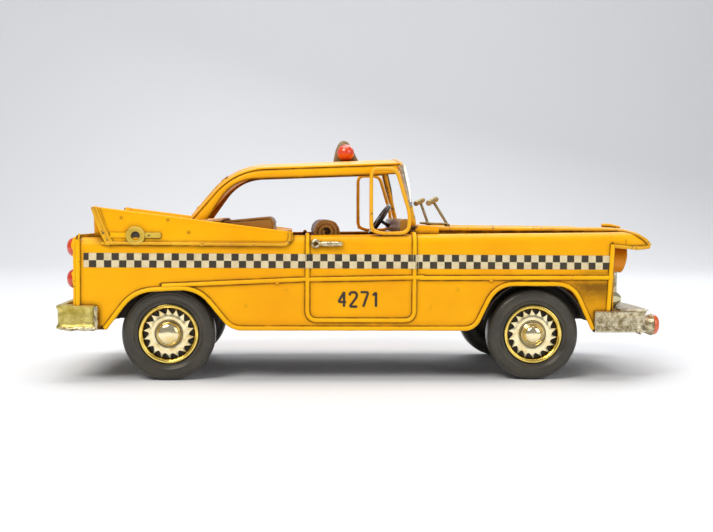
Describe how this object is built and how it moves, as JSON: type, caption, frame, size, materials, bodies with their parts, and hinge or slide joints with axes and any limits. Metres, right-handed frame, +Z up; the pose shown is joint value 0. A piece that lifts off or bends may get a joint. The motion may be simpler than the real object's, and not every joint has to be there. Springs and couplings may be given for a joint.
{
  "type": "friction tin toy car",
  "caption": "Handmade tin taxi with tail fins, open windows, wire-edged panels and a roof beacon, rolling on steel wheels with a friction flywheel motor on the rear axle.",
  "frame": {"origin": "on the floor, in the middle of the car's length and width", "axes": "+X towards the nose, +Y to the car's left side, +Z up"},
  "size_m": [0.3314, 0.1234, 0.1336],
  "materials": {
    "body_paint": "hand-sprayed cab yellow, satin, stained in the seams",
    "bead_paint": "cab yellow over soldered wire, rubbed",
    "aged_steel": "tarnished bare steel with solder marks",
    "chrome": "plated, slightly dulled",
    "red_lens": "translucent red",
    "amber_lens": "translucent orange-red",
    "clear_lens": "clear, slightly yellowed",
    "tyre_rubber": "satin black rubber",
    "seat_paint": "brown paint over textured sheet",
    "beacon_paint": "grey-brown, dull",
    "black_paint": "gloss black",
    "floor_paint": "matt black",
    "motor_steel": "plain turned steel",
    "flywheel_iron": "turned grey iron",
    "gear_brass": "stamped brass"
  },
  "bodies": {
    "root": {"bumper_brackets": "aged_steel", "bumper_guards": "aged_steel", "cowl_panel": "body_paint", "dashboard": "body_paint", "door_beads": "bead_paint", "door_handles": "chrome", "edge_beads": "bead_paint", "fin_badges": "aged_steel", "fin_wires": "bead_paint", "floor_pan": "floor_paint", "front_axle_bracket": "floor_paint", "front_bumper": "aged_steel", "front_panel": "body_paint", "front_seat": "seat_paint", "grille": "chrome", "guard_lamp_lenses": "amber_lens", "headlamp_brows": "body_paint", "headlamp_housings": "body_paint", "headlamp_lenses": "clear_lens", "hood_panel": "body_paint", "hood_trim": "bead_paint", "motor_frame": "floor_paint", "parking_lamps": "chrome", "rear_bumper": "aged_steel", "rear_deck": "body_paint", "rear_panel": "body_paint", "rear_seat": "seat_paint", "rear_window_frame": "bead_paint", "rivets": "motor_steel", "roof_beacon": "beacon_paint", "roof_beacon_lenses": "red_lens", "roof_panel": "body_paint", "roof_rail_left": "body_paint", "roof_rail_right": "body_paint", "side_panel_left": "body_paint", "side_panel_right": "body_paint", "tail_fin_left": "body_paint", "tail_fin_right": "body_paint", "tail_lamp_bezels": "chrome", "tail_lamp_lenses": "red_lens", "vent_frames": "bead_paint", "waist_beads": "bead_paint", "windscreen_frame": "chrome", "wipers": "bead_paint"},
    "rear_wheels": {"rear_axle": "motor_steel", "drive_gear": "gear_brass", "rim_rear_left": "chrome", "rim_rear_right": "chrome", "tyre_rear_left": "tyre_rubber", "tyre_rear_right": "tyre_rubber", "hub_caps_rear": "chrome"},
    "front_wheels": {"front_axle": "motor_steel", "rim_front_left": "chrome", "rim_front_right": "chrome", "tyre_front_left": "tyre_rubber", "tyre_front_right": "tyre_rubber", "hub_caps_front": "chrome"},
    "idler": {"idler_gear": "gear_brass"},
    "flywheel": {"flywheel": "flywheel_iron"},
    "steering": {"steering_wheel": "black_paint"}
  },
  "joints": [
    {"name": "rear_wheels_roll", "type": "hinge", "parent": "root", "child": "rear_wheels", "pos_m": [-0.1071, 0, 0.025], "axis": [0, 1, 0], "continuous": true},
    {"name": "front_wheels_roll", "type": "hinge", "parent": "root", "child": "front_wheels", "pos_m": [0.0905, 0, 0.025], "axis": [0, 1, 0], "continuous": true},
    {"name": "idler_spin", "type": "hinge", "parent": "root", "child": "idler", "pos_m": [-0.0991, 0, 0.03886], "axis": [0, 1, 0], "continuous": true},
    {"name": "flywheel_spin", "type": "hinge", "parent": "root", "child": "flywheel", "pos_m": [-0.09496, 0, 0.05431], "axis": [0, 1, 0], "continuous": true},
    {"name": "steering_turn", "type": "hinge", "parent": "root", "child": "steering", "pos_m": [0.01235, 0.025, 0.0865], "axis": [0.8285, 0, -0.5599], "continuous": true}
  ],
  "couplings": [
    {"joint": "idler_spin", "follows": "rear_wheels_roll", "ratio": -3},
    {"joint": "flywheel_spin", "follows": "rear_wheels_roll", "ratio": 9}
  ]
}
